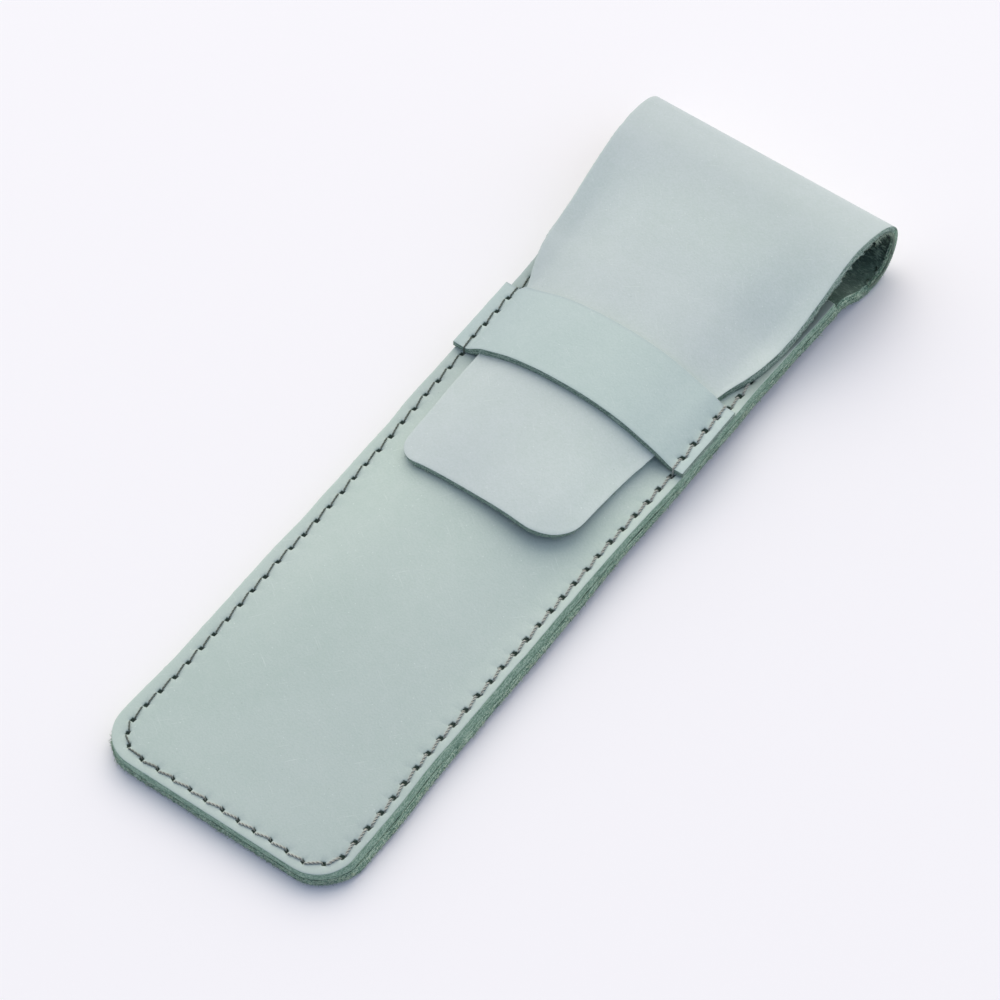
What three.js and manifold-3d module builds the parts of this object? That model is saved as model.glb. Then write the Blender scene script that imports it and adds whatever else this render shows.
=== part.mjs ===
// A sewn leather pen pouch lying on its back: a crowned front panel on a flat back panel,
// whose leather runs on over a rounded fold into a flap tucked under a strap.
import * as THREE from "three";
import { mergeVertices } from "three/addons/utils/BufferGeometryUtils.js";
import Module from "manifold-3d";

const wasm = await Module();
wasm.setup();

// Driving sizes in millimetres: X across, Y from the sewn bottom to the fold, Z up from the back.
const leather = 1.8; // thickness of the hide
const seamGap = 0.2; // between the two panels along the seam
const layGap = 0.3; // between layers that lie on each other
const cutGap = 0.3; // between the rigid lengths of one bending hide
const pocketWidth = 56;
const pocketLength = 170; // bottom edge to mouth
const cornerRadius = 8.5;
const flareStart = 140; // the sides widen from here to the mouth
const rim = 4.2; // flat sewn margin of the front panel
const crown = 5.4; // rise of the front panel in the middle
const crownStart = 6; // Y where the rise begins
const crownFull = 118; // Y where it is whole
const foldReach = 21.7; // fold beyond the mouth
const foldWidth = 60.4; // widest part of the hide
const foldLead = 1.5; // flat back leather between the mouth and the fold
const bellyDip = 3.6; // underside of the fold below the back
const bellyReach = 13.5; // lowest point of the fold beyond the mouth
const loopTop = 13.3; // top of the fold above the back
const loopTopReach = 8; // the fold ends in the flap this far beyond the mouth
const mouthTrim = 0.6; // pocket's mouth narrower than the fold, on each side
const flapTrim = 0.45; // flap narrower than the fold, on each side
const flapLift = 0.6; // flap above the front panel, over the thread
const flapRise = 150; // Y where the flap begins to climb to the fold
const shoulderTop = 161; // Y where the flap begins to narrow
const shoulderEnd = 131; // Y where the tongue begins
const tongueInset = 4.8; // tongue's side to the pocket's side, under the strap
const tongueTaper = 2.2; // narrower at its tip, on each side
const tongueTip = 85.8; // Y of the tongue's end
const tongueRadius = 6.5;
const strapWidth = 18.5;
const strapLow = 116.2; // Y of the strap's lower edge
const stitchPitch = 4;
const stitchMargin = 2.1; // seam to cut edge
const slotLength = 1.7;
const slotWidth = 0.8;
const slotLean = 35; // degrees between a slot and the seam
const grooveWidth = 1.4; // the stitches on the back lie sunk in a groove
const grooveDepth = 0.75;
const threadRadius = 0.25;
const threadClear = 0.12; // thread above the leather
const strapEdgeToSlot = 1.25; // strap's cut edge to its nearest slot
const mouthToSlot = 3; // mouth to the last slot

// Fineness of the facets and shape of the crown.
const acrossSteps = 14;
const cornerSteps = 6;
const foldSteps = 7;
const panelStep = 7; // along Y
const crownFlatness = 2.4; // higher is flatter in the middle
const crownEase = 1.25; // above 1 meets the rim without a crease

// Heights and places that follow from them.
const pocketHalf = pocketWidth / 2;
const mouthFlare = foldWidth / 2 - mouthTrim - pocketHalf;
const flapWidth = foldWidth - 2 * flapTrim;
const tongueHalf = pocketHalf - tongueInset;
const backTop = leather;
const frontUnder = backTop + seamGap;
const frontRim = frontUnder + leather;
const strapHigh = strapLow + strapWidth;
const foldStart = pocketLength + foldLead;
const foldEnd = pocketLength + loopTopReach;
const foldApex = pocketLength + foldReach;
const bellyLow = pocketLength + bellyReach;
const apexHeight = (loopTop - bellyDip) / 2;
const flapStart = strapHigh + strapEdgeToSlot; // the tongue begins just clear of the strap

const smooth = (t) => {
  const c = Math.min(1, Math.max(0, t));
  return c * c * (3 - 2 * c);
};
const between = (a, b, count) =>
  Array.from({ length: count + 1 }, (_, i) => a + ((b - a) * i) / count);

// Half width of the two panels at Y, with the rounded lower corners.
function panelHalf(y) {
  const side = pocketHalf + mouthFlare * smooth((y - flareStart) / (pocketLength - flareStart));
  const below = Math.max(0, cornerRadius - y);
  return side - cornerRadius + Math.sqrt(cornerRadius ** 2 - below ** 2);
}

// Half width of the flap and its tongue at Y, with the tongue's rounded corners.
function flapHalf(y) {
  const widening = smooth((y - tongueTip) / (strapLow - tongueTip));
  const shoulder = smooth((y - shoulderEnd) / (shoulderTop - shoulderEnd));
  const waist = tongueHalf - tongueTaper * (1 - widening);
  const side = waist + (flapWidth / 2 - tongueHalf) * shoulder;
  const below = Math.max(0, tongueTip + tongueRadius - y);
  return side - tongueRadius + Math.sqrt(tongueRadius ** 2 - below ** 2);
}

// The back leather widens beyond the mouth to the fold's width.
function backHalf(y) {
  const beyond = smooth((y - pocketLength) / bellyReach);
  return panelHalf(Math.min(y, pocketLength)) + (foldWidth / 2 - panelHalf(pocketLength)) * beyond;
}

// The fold's upper half eases from the fold's width to the flap's.
function upperHalf(y) {
  return THREE.MathUtils.lerp(flapWidth, foldWidth, (y - foldEnd) / (foldApex - foldEnd)) / 2;
}

// Rise of the front panel: flat along the sewn rim, full in the middle and open at the mouth.
function rise(x, y) {
  const across = Math.min(1, Math.abs(x) / (panelHalf(y) - rim));
  const along = smooth((y - crownStart) / (crownFull - crownStart));
  return crown * along * (1 - across ** crownFlatness) ** crownEase;
}

const frontTop = (x, y) => frontRim + rise(x, y);

// Underside of the flap: it lies on the front panel and climbs to the level top of the fold.
function flapUnder(x, y) {
  const climb = smooth((y - flapRise) / (foldEnd - flapRise));
  return THREE.MathUtils.lerp(frontTop(x, y) + flapLift, loopTop - leather, climb);
}

// A closed sheet from rows of [under, top] point pairs, running left to right.
function sheet(rows) {
  const across = rows[0].length;
  const position = rows.flat(2).flatMap((p) => p.toArray());
  const at = (row, column, side) => (row * across + column) * 2 + side;
  const index = [];
  const quad = (a, b, c, d) => index.push(a, b, c, a, c, d);
  const lastRow = rows.length - 1;
  const lastColumn = across - 1;
  for (let r = 0; r < lastRow; r++) {
    for (let c = 0; c < lastColumn; c++) {
      quad(at(r, c, 1), at(r, c + 1, 1), at(r + 1, c + 1, 1), at(r + 1, c, 1));
      quad(at(r, c, 0), at(r + 1, c, 0), at(r + 1, c + 1, 0), at(r, c + 1, 0));
    }
    quad(at(r, 0, 0), at(r, 0, 1), at(r + 1, 0, 1), at(r + 1, 0, 0));
    quad(at(r, lastColumn, 0), at(r + 1, lastColumn, 0), at(r + 1, lastColumn, 1), at(r, lastColumn, 1));
  }
  for (let c = 0; c < lastColumn; c++) {
    quad(at(0, c, 0), at(0, c + 1, 0), at(0, c + 1, 1), at(0, c, 1));
    quad(at(lastRow, c, 0), at(lastRow, c, 1), at(lastRow, c + 1, 1), at(lastRow, c + 1, 0));
  }
  const geometry = new THREE.BufferGeometry();
  geometry.setAttribute("position", new THREE.Float32BufferAttribute(position, 3));
  return geometry.setIndex(index);
}

// A row of point pairs at Y through the given X places, one leather thickness tall.
const layerRow = (y, places, under) =>
  places.map((x) => [0, leather].map((up) => new THREE.Vector3(x, y, under(x, y) + up)));

// Y places of a sheet whose end at `from` has round corners of the given radius.
function roundedRows(from, radius, to) {
  const corner = between(0, Math.PI / 2, cornerSteps).map((a) => from + radius * (1 - Math.cos(a)));
  const rest = Math.ceil((to - from - radius) / panelStep);
  return [...corner, ...between(from + radius, to, rest).slice(1)];
}

function solidOf(geometry) {
  const merged = mergeVertices(geometry, 1e-4);
  const vertProperties = new Float32Array(merged.attributes.position.array);
  const triVerts = new Uint32Array(merged.index.array);
  return new wasm.Manifold(new wasm.Mesh({ numProp: 3, vertProperties, triVerts }));
}

function geometryOf(solid) {
  const mesh = solid.getMesh();
  const geometry = new THREE.BufferGeometry();
  geometry.setAttribute("position", new THREE.BufferAttribute(mesh.vertProperties, 3));
  return geometry.setIndex(new THREE.BufferAttribute(mesh.triVerts, 1));
}

// Seam: slot places from the mouth down the right side, round the bottom and up the left side.
function sideSlots() {
  const onStrap = Math.max(1, Math.round((strapWidth - 2 * strapEdgeToSlot) / stitchPitch));
  const places = between(strapHigh - strapEdgeToSlot, strapLow + strapEdgeToSlot, onStrap);
  while (places[0] + stitchPitch < pocketLength - mouthToSlot) places.unshift(places[0] + stitchPitch);
  while (places.at(-1) - stitchPitch > cornerRadius) places.push(places.at(-1) - stitchPitch);
  return places;
}

function seamSlots() {
  const sides = sideSlots();
  const lowest = sides.at(-1);
  const turn = cornerRadius - stitchMargin;
  const down = lowest - cornerRadius;
  const quarter = (turn * Math.PI) / 2;
  const flat = pocketWidth - 2 * cornerRadius;
  const total = 2 * (down + quarter) + flat;
  const right = sides.map((y) => ({ x: panelHalf(y) - stitchMargin, y, heading: -90 }));
  const left = sides.map((y) => ({ x: stitchMargin - panelHalf(y), y, heading: 90 })).reverse();
  const bottom = between(0, total, Math.round(total / stitchPitch)).slice(1, -1).map((s) => {
    const mirrored = s > total / 2;
    const along = mirrored ? total - s : s;
    const angle = THREE.MathUtils.clamp((along - down) / turn, 0, Math.PI / 2);
    const straight = Math.max(0, along - down - quarter);
    const x = flat / 2 + turn * Math.cos(angle) - straight;
    const y = cornerRadius - turn * Math.sin(angle) + Math.max(0, down - along);
    const heading = -90 - THREE.MathUtils.radToDeg(angle);
    return mirrored ? { x: -x, y, heading: -360 - heading } : { x, y, heading };
  });
  return [...right, ...bottom, ...left];
}

const slots = seamSlots().map((slot) => {
  const lean = THREE.MathUtils.degToRad(slot.heading - slotLean);
  return { ...slot, along: new THREE.Vector3(Math.cos(lean), Math.sin(lean), 0) };
});

// Slots cut through a solid sheet from low to high.
function withSlots(uncut, cuts, low, high) {
  const tools = cuts.map(({ x, y, along }) => {
    const box = new THREE.BoxGeometry(slotLength, slotWidth, high - low);
    box.deleteAttribute("normal");
    box.deleteAttribute("uv");
    box.rotateZ(Math.atan2(along.y, along.x));
    return solidOf(box.translate(x, y, (low + high) / 2));
  });
  return geometryOf(tools.reduce((solid, tool) => solid.subtract(tool), uncut));
}

const onStrap = (slot) => slot.y > strapLow && slot.y < strapHigh;

// Groove along the seam in the underside of the back, which then lies flat over its stitches.
function seamGroove() {
  const rows = slots.map(({ x, y, heading }) => {
    const angle = THREE.MathUtils.degToRad(heading);
    const side = new THREE.Vector3(Math.sin(angle), -Math.cos(angle), 0);
    const corner = (a, z) => new THREE.Vector3(x, y, z).addScaledVector(side, a);
    const walls = [-grooveWidth / 2, grooveWidth / 2];
    return walls.map((a) => [-grooveDepth, grooveDepth].map((z) => corner(a, z)));
  });
  return sheet(rows);
}

function backPanel() {
  const rows = roundedRows(0, cornerRadius, foldStart - cutGap / 2);
  const flat = sheet(rows.map((y) => layerRow(y, [-backHalf(y), backHalf(y)], () => 0)));
  const grooved = solidOf(flat).subtract(solidOf(seamGroove()));
  return withSlots(grooved, slots, -leather, 2 * leather);
}

function frontPanel() {
  const rows = roundedRows(0, cornerRadius, pocketLength);
  const places = (y) => {
    const inner = panelHalf(y) - rim;
    return [-panelHalf(y), ...between(-inner, inner, acrossSteps), panelHalf(y)];
  };
  const crowned = sheet(rows.map((y) => layerRow(y, places(y), (x, at) => frontUnder + rise(x, at))));
  return withSlots(solidOf(crowned), slots, frontUnder - leather, frontRim + leather);
}

// Outer line of the fold in the Y-Z plane, from the back panel round to the flap.
function foldLine() {
  const line = new THREE.CurvePath();
  const at = (y, z) => new THREE.Vector3(0, y, z);
  const dipReach = (bellyLow - foldStart) / 2;
  const roundness = 0.5523; // control arm of a quarter circle, as a share of its radius
  const lowArm = roundness * (foldApex - bellyLow);
  const highArm = roundness * (foldApex - foldEnd);
  const apexArm = roundness * (apexHeight + bellyDip);
  const [start, belly] = [at(foldStart, 0), at(bellyLow, -bellyDip)];
  const [apex, end] = [at(foldApex, apexHeight), at(foldEnd, loopTop)];
  const curve = (from, outOf, into, to) => line.add(new THREE.CubicBezierCurve3(from, outOf, into, to));
  curve(start, at(foldStart + dipReach, 0), at(bellyLow - dipReach, -bellyDip), belly);
  curve(belly, at(bellyLow + lowArm, -bellyDip), at(foldApex, apexHeight - apexArm), apex);
  curve(apex, at(foldApex, apexHeight + apexArm), at(foldEnd + highArm, loopTop), end);
  return line;
}

// One rigid length of the fold: the curves from first to last, set in from its hinges.
function foldLength(first, last, halfAt) {
  const curves = foldLine().curves.slice(first, last + 1);
  const rows = curves.flatMap((curve, i) => {
    const trimStart = i === 0 ? cutGap / 2 / curve.getLength() : 0;
    const trimEnd = i === curves.length - 1 ? cutGap / 2 / curve.getLength() : 0;
    const steps = between(trimStart, 1 - trimEnd, foldSteps);
    return (i === 0 ? steps : steps.slice(1)).map((u) => {
      const outer = curve.getPointAt(u);
      const heading = curve.getTangentAt(u);
      const inner = outer.clone().add(new THREE.Vector3(0, -heading.z, heading.y).multiplyScalar(leather));
      const half = halfAt(outer);
      return [-half, half].map((x) => [
        new THREE.Vector3(x, outer.y, outer.z),
        new THREE.Vector3(x, inner.y, inner.z),
      ]);
    });
  });
  return sheet(rows);
}

const flapPlaces = (y) => between(-flapHalf(y), flapHalf(y), acrossSteps);

function flapPanel() {
  const rows = between(flapStart + cutGap / 2, foldEnd - cutGap / 2, acrossSteps);
  return sheet(rows.map((y) => layerRow(y, flapPlaces(y), flapUnder)));
}

function flapTongue() {
  const rows = roundedRows(tongueTip, tongueRadius, flapStart - cutGap / 2);
  return sheet(rows.map((y) => layerRow(y, flapPlaces(y), flapUnder)));
}

// The strap lies flat on the sewn rim and arches over the tongue between its seams.
const strapFoot = pocketHalf - stitchMargin - slotLength / 2 - 2 * threadClear;
const strapShoulder = flapHalf(strapHigh) + layGap / 2;

function strapUnder(x, y) {
  const arch = smooth((strapFoot - Math.abs(x)) / (strapFoot - strapShoulder));
  return frontTop(x, y) + layGap + (flapLift + leather) * arch;
}

function retainingStrap() {
  const places = [
    -pocketHalf,
    -strapFoot,
    ...between(-strapShoulder, strapShoulder, acrossSteps),
    strapFoot,
    pocketHalf,
  ];
  const rows = between(strapLow, strapHigh, Math.ceil(strapWidth / panelStep));
  const band = sheet(rows.map((y) => layerRow(y, places, strapUnder)));
  return withSlots(solidOf(band), slots.filter(onStrap), frontRim - leather, frontRim + 3 * leather);
}

// A thread: a square-sectioned tube along its route, closed at both ends.
function thread(route) {
  const rings = route.map((point, i) => {
    const before = route[Math.max(0, i - 1)];
    const after = route[Math.min(route.length - 1, i + 1)];
    const heading = after.clone().sub(before).normalize();
    const side = new THREE.Vector3(heading.y, -heading.x, 0).normalize();
    const up = side.clone().cross(heading);
    const corner = (a, b) => point.clone().addScaledVector(side, a).addScaledVector(up, b);
    const ends = [-threadRadius, threadRadius];
    return ends.map((a) => ends.map((b) => corner(a, b)));
  });
  return sheet(rings);
}

const slotReach = slotLength / 2 - threadRadius - threadClear;

// Needle thread: over the leather between slots, dipping half way through the front at each one.
function needleRoute() {
  const surface = (slot) => (onStrap(slot) ? frontRim + layGap + leather : frontRim);
  const over = (slot) => surface(slot) + threadClear + threadRadius;
  const place = (slot, reach, z) => new THREE.Vector3(slot.x, slot.y, z).addScaledVector(slot.along, reach);
  return slots.flatMap((slot, i) => {
    const points = [
      place(slot, -slotReach, over(slot)),
      place(slot, 0, surface(slot) - leather / 2),
      place(slot, slotReach, over(slot)),
    ];
    const next = slots[i + 1];
    if (next && onStrap(next) !== onStrap(slot)) {
      const edge = Math.abs(slot.y - strapLow) < Math.abs(slot.y - strapHigh) ? strapLow : strapHigh;
      const clear = (edge === strapLow ? -1 : 1) * (threadRadius + 2 * threadClear);
      const share = (edge + clear - slot.y) / (next.y - slot.y);
      const x = THREE.MathUtils.lerp(slot.x, next.x, share);
      const climb = [slot, next].map((s) => new THREE.Vector3(x, edge + clear, over(s)));
      points.push(...climb);
    }
    return points;
  });
}

// Bobbin thread: the same stitches in the groove of the back, rising half way through the rest of it.
function bobbinRoute() {
  const low = grooveDepth - threadClear - threadRadius;
  const high = (grooveDepth + leather) / 2;
  return slots.flatMap((slot) => {
    const at = (reach, z) => new THREE.Vector3(slot.x, slot.y, z).addScaledVector(slot.along, reach);
    return [at(-slotReach, low), at(0, high), at(slotReach, low)];
  });
}

const hide = { color: 0xb9c8c5, roughness: 0.72, metalness: 0 };
const suede = { color: 0xa9bab5, roughness: 0.85, metalness: 0 };
const linen = { color: 0x7a7a66, roughness: 0.8, metalness: 0 };

const pouch = new THREE.Group();
pouch.position.y = -pocketLength / 2; // the origin is the middle of the pocket's flat back

function add(name, geometry, finish) {
  const mesh = new THREE.Mesh(geometry, new THREE.MeshStandardMaterial(finish));
  mesh.name = name;
  pouch.add(mesh);
}

add("back_panel", backPanel(), suede);
add("front_panel", frontPanel(), hide);
add("fold_lower", foldLength(0, 1, (p) => backHalf(p.y)), hide);
add("fold_upper", foldLength(2, 2, (p) => upperHalf(p.y)), hide);
add("flap_panel", flapPanel(), hide);
add("flap_tongue", flapTongue(), hide);
add("retaining_strap", retainingStrap(), hide);
add("needle_thread", thread(needleRoute()), linen);
add("bobbin_thread", thread(bobbinRoute()), linen);

const model = new THREE.Group();
model.add(pouch);
export default model;
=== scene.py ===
import math
import random
from bisect import bisect_right
import bpy
from mathutils import Matrix, Vector, geometry, kdtree, noise


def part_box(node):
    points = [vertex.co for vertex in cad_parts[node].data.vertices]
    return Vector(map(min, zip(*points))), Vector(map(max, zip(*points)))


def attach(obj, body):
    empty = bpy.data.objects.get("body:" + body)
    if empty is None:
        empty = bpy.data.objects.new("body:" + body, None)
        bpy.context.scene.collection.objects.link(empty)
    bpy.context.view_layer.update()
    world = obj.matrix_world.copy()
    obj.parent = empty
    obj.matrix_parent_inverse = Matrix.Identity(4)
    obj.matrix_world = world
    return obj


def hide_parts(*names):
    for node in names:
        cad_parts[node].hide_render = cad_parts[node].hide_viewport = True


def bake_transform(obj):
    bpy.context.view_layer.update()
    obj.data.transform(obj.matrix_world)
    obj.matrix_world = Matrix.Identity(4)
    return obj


# Sewn leather pen pouch lying on its back, its flap tucked under a strap
# Lengths are in millimetres and turn to metres when a mesh is made
mm = 0.001

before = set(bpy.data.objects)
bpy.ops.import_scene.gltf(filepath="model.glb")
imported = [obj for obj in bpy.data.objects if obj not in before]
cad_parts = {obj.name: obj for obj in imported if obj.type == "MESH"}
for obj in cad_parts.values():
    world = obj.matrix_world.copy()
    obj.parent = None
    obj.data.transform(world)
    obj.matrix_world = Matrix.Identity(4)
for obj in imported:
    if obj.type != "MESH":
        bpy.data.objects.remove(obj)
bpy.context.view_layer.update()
scene = bpy.context.scene


def boxOf(node):
    low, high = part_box(node)
    return low / mm, high / mm


frontLow, frontHigh = boxOf("front_panel")
strapLow, strapHigh = boxOf("retaining_strap")
lowerLow, lowerHigh = boxOf("fold_lower")
backHigh = boxOf("back_panel")[1]
upperHigh = boxOf("fold_upper")[1]
flapHigh = boxOf("flap_panel")[1]
tongueLow = boxOf("flap_tongue")[0]


class Named(dict):
    # a dictionary whose entries also read as names
    __getattr__ = dict.__getitem__


# One hide; what the frame gives is read from it
pouch = Named(
    corner=8.5,  # radius of the sewn corners
    flare=30,  # the sides widen over this length below the mouth
    rim=4.2,  # flat sewn margin of the front
    crownStart=6,  # above the bottom
    crownFull=118, crownFlat=2.4, crownEase=1.25,
    cutGap=0.3,  # between the frame's rigid lengths of hide
    bellyReach=13.5,  # mouth to the fold's lowest line
)
leather = backHigh.z
bottom = frontLow.y
mouth = frontHigh.y
pocketHalf = strapHigh.x
mouthHalf = frontHigh.x
frontRim = frontLow.z + leather
crown = frontHigh.z - frontRim
foldStart = backHigh.y + pouch.cutGap / 2
foldEnd = flapHigh.y + pouch.cutGap / 2
foldHalf = lowerHigh.x
bellyLow = Vector((mouth + pouch.bellyReach, lowerLow.z))  # Y and Z
loopTop = flapHigh.z
apex = Vector((upperHigh.y, (loopTop + lowerLow.z) / 2))
print("frame read, pocket", round(2 * pocketHalf, 1), "by", round(mouth - bottom, 1), "mm")


# Small helpers

def linear(hexColour):
    parts = [int(hexColour[i:i + 2], 16) / 255 for i in (1, 3, 5)]
    return [c / 12.92 if c <= 0.04045 else ((c + 0.055) / 1.055) ** 2.4 for c in parts] + [1.0]


def smooth(t):
    t = min(1.0, max(0.0, t))
    return t * t * (3 - 2 * t)


def ease(at, start, run):
    # from 0 at start to 1 at the run's end, which lies below start if the run is negative
    return smooth((at - start) / run)


def mix(a, b, share):
    return a + (b - a) * share


def spread(a, b, step):
    count = max(1, math.ceil(abs(b - a) / step))
    return [mix(a, b, i / count) for i in range(count + 1)]


def humps(terms, at):
    # each term is an amount and the slopes that let it in or out, as start and run
    total = 0.0
    for amount, *slopes in terms:
        for slope in slopes:
            amount *= ease(at, *slope)
        total += amount
    return total


def noiseAt(*place):
    return noise.noise(Vector(place))


def sideOf(x):
    return 1 if x > 0 else -1


def through(knots, at):
    # smooth curve through (place, value) pairs, level beyond both ends
    i = min(max(bisect_right([k[0] for k in knots], at) - 1, 0), len(knots) - 2)

    def slope(j):
        before, after = knots[max(j - 1, 0)], knots[min(j + 1, len(knots) - 1)]
        return (after[1] - before[1]) / (after[0] - before[0])

    (x0, y0), (x1, y1) = knots[i], knots[i + 1]
    t = min(1.0, max(0.0, (at - x0) / (x1 - x0)))
    bend = t * (1 - t) * (x1 - x0) * ((1 - t) * slope(i) - t * slope(i + 1))
    return mix(y0, y1, smooth(t)) + bend


def setInputs(tree, node, inputs):
    # links a socket and sets anything else
    for key, value in inputs.items():
        if isinstance(value, bpy.types.NodeSocket):
            tree.links.new(value, node.inputs[key])
        else:
            node.inputs[key].default_value = value


def addNode(tree, kind, inputs=None, **settings):
    node = tree.nodes.new("ShaderNode" + kind)
    for key, value in settings.items():
        setattr(node, key, value)
    setInputs(tree, node, inputs or {})
    return node


def mathOf(tree, operation, *values):
    return addNode(tree, "Math", dict(enumerate(values)), operation=operation).outputs[0]


def vectorOf(tree, operation, inputs, give=0):
    return addNode(tree, "VectorMath", inputs, operation=operation).outputs[give]


def rangeOf(tree, value, low, high, first=0.0, last=1.0):
    return addNode(tree, "MapRange", {"Value": value, "From Min": low, "From Max": high,
            "To Min": first, "To Max": last}).outputs[0]


def blendOf(tree, share, *shades):
    # between two sockets or hex colours
    a, b = [linear(c) if isinstance(c, str) else c for c in shades]
    return addNode(tree, "Mix", {0: share, 6: a, 7: b}, data_type="RGBA").outputs[2]


def noiseOf(tree, at, size, detail=2.0, rough=0.5):
    # size is in the units of the place, which are millimetres on a sheet
    return addNode(tree, "TexNoise", {"Vector": at, "Scale": 1 / size, "Detail": detail,
            "Roughness": rough}).outputs["Fac"]


def rampOf(tree, value, levels, shades):
    # dark, middle and pale
    ramp = addNode(tree, "ValToRGB", {"Fac": value})
    stops = ramp.color_ramp.elements
    for stop, level, shade in zip(stops, levels[::2], shades[::2]):
        stop.position = level
        stop.color = linear(shade)
    stops.new(levels[1]).color = linear(shades[1])
    return ramp.outputs[0]


def meshValue(tree, key):
    return addNode(tree, "Attribute", attribute_name=key).outputs["Fac"]


def addObject(name, data):
    obj = bpy.data.objects.new(name, data)
    scene.collection.objects.link(obj)
    return obj


# Camera: a long lens over the lower right of the pouch

camera = Named(
    place=(360.3, -429.9, 831.2), forward=(-0.3577, 0.4354, -0.8261),
    right=(0.8034, 0.5944, -0.0346), lens=180.06,
    near=0.01,  # metres
    far=50,
)


def placeCamera():
    forward = Vector(camera.forward).normalized()
    right = Vector(camera.right)
    right = (right - forward * right.dot(forward)).normalized()
    turn = Matrix((right, right.cross(forward), -forward)).transposed().to_4x4()
    data = bpy.data.cameras.new("camera")
    data.lens = camera.lens
    data.clip_start = camera.near
    data.clip_end = camera.far
    eye = addObject("camera", data)
    eye.matrix_world = Matrix.Translation(Vector(camera.place) * mm) @ turn
    scene.camera = eye


placeCamera()
scene.view_settings.view_transform = "Standard"

# Light: a white room, brightest behind and to the left and dim and cool on the near right, and a weak key

light = Named(
    at=(-0.90, 1.60, 2.15), size=3.2, power=39.5,
    tint="#FFF6E6",
    bright=(-0.55, 0.83, 0.0),  # where the room is brightest
    lean=0.76,  # how far the room's level rises there and falls away opposite
    room=0.845,
    warm="#FFFAF2",
    cool="#B8D2FF",
    backdrop="#F6F5FA",
    turn=(-0.8, 0.6),  # from the cool side to the warm
)


def lightScene():
    data = bpy.data.lights.new("key", "AREA")
    data.shape = "DISK"
    data.size = light.size
    data.energy = light.power
    data.color = linear(light.tint)[:3]
    key = addObject("key", data)
    key.location = light.at
    key.rotation_euler = (-Vector(light.at)).to_track_quat("-Z", "Y").to_euler()
    world = bpy.data.worlds.new("room")
    world.use_nodes = True
    tree = world.node_tree
    tree.nodes.clear()
    rays = addNode(tree, "LightPath").outputs
    seen = rays["Is Camera Ray"]
    for kind in ("Is Glossy Ray", "Is Transmission Ray"):
        seen = mathOf(tree, "MAXIMUM", seen, rays[kind])
    heading = addNode(tree, "TexCoord").outputs["Generated"]
    toward = vectorOf(tree, "DOT_PRODUCT", {0: heading, 1: light.bright}, "Value")
    room, lean = light.room, light.lean
    level = rangeOf(tree, toward, -1.0, 1.0, room * (1 - lean), room * (1 + lean))
    tint = blendOf(tree, rangeOf(tree, toward, *light.turn), light.cool, light.warm)
    soft = addNode(tree, "Background", {"Color": tint, "Strength": level})
    pale = addNode(tree, "Background", {"Color": linear(light.backdrop), "Strength": 1.0})
    both = addNode(tree, "MixShader", {0: seen, 1: soft.outputs[0], 2: pale.outputs[0]})
    addNode(tree, "OutputWorld", {"Surface": both.outputs[0]})
    scene.world = world


lightScene()

# Floor: a matt pale table; the belly of the fold rests on it and the sewn end curls a little off it

floor = Named(reach=6000, curl=0.7, under=0.05, tint="#F6F5F9", rough=0.9)


def layFloor():
    reach = floor.reach
    slope = (lowerLow.z - floor.under + floor.curl) / (bellyLow.x - bottom)
    corners = [Vector((x, y, (y - bottom) * slope - floor.curl))
            for x, y in ((-reach, -reach), (reach, -reach), (reach, reach), (-reach, reach))]
    mesh = bpy.data.meshes.new("floor")
    mesh.from_pydata([c * mm for c in corners], [], [(0, 1, 2, 3)])
    material = bpy.data.materials.new("matt table paint")
    material.use_nodes = True
    tree = material.node_tree
    setInputs(tree, tree.nodes["Principled BSDF"], {"Base Color": linear(floor.tint),
            "Roughness": floor.rough, "Specular IOR Level": 0.0})
    mesh.materials.append(material)
    obj = addObject("floor", mesh)


layFloor()
print("camera, light and floor set")

# Materials: each look names the constant sockets, and a paint function gives those that vary and a height


def makeMaterial(name, paint, look):
    # lay is a point's place on the flat sheet
    material = bpy.data.materials.new(name)
    material.use_nodes = True
    tree = material.node_tree
    lay = addNode(tree, "Attribute", attribute_name="lay").outputs["Vector"]
    varied, height = paint(tree, lay, look)
    if height:
        bump = addNode(tree, "Bump", {"Height": height, "Strength": look.bump,
                "Distance": look.bumpDeep * mm})
        varied["Normal"] = bump.outputs[0]
    setInputs(tree, tree.nodes["Principled BSDF"], {**look.sockets, **varied})
    return material


# Vegetable-tanned cowhide, dyed through, rolled smooth and left matt: faint clouds of dye, tight
# pores, a few pale and dark specks, short hairline scuffs, and a paler rim along the cut edges, partly
# pressed outside the seam and partly a painted highlight where the rounded arris catches the light
hideLook = Named(
    rim="#C3D5CB",
    # painted shade: dark green inside the awl slots, where the holes are in shade, and on the front under
    # the flap
    pricked="#2B4036",
    cloud=34, mottle=3.4,
    pore=0.42,  # coarser than real pores, so that they show at this distance
    mottleShare=0.5, poreShare=1.15, cellShare=0.6,
    tone=(0.95, 1.7),  # sum of the three where the first dye ends and the second begins
    speck=0.17,
    speckCore=0.3,  # share of a speck at full strength
    specks=(("#DCE6E4", 1.1, 0.72, 0.5), ("#8A9D96", 2.6, 0.8, 0.6)),  # shade, cell, empty cells, strength
    scuff="#D3DDDB",
    scuffSize=(7, 0.22), scuffTurns=(0.6, 2.3), scuffLevels=(0.7, 0.8), scuffStrength=0.45,
    paled=(1.0, 0.95, 0.75),  # painted light and shade scale the colour, red most and blue least, so painted light comes out a little warmer
    rough=(0.56, 0.74), bump=0.4, bumpDeep=0.05,
    sockets={"IOR": 1.46, "Sheen Weight": 0.1, "Sheen Roughness": 0.45},
)
# the three cuts took the dye a little differently
dye = {
    "front": ("#ABBDB8", "#B8C6C3"),
    "long": ("#B5C3C1", "#C1CCCD"),
    "strap": ("#AFC2BF", "#BBCBC9"),
}


def drawnOut(tree, at, size):
    return vectorOf(tree, "MULTIPLY", {0: at, 1: (1 / size[0], 1 / size[1], 1.0)})


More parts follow.
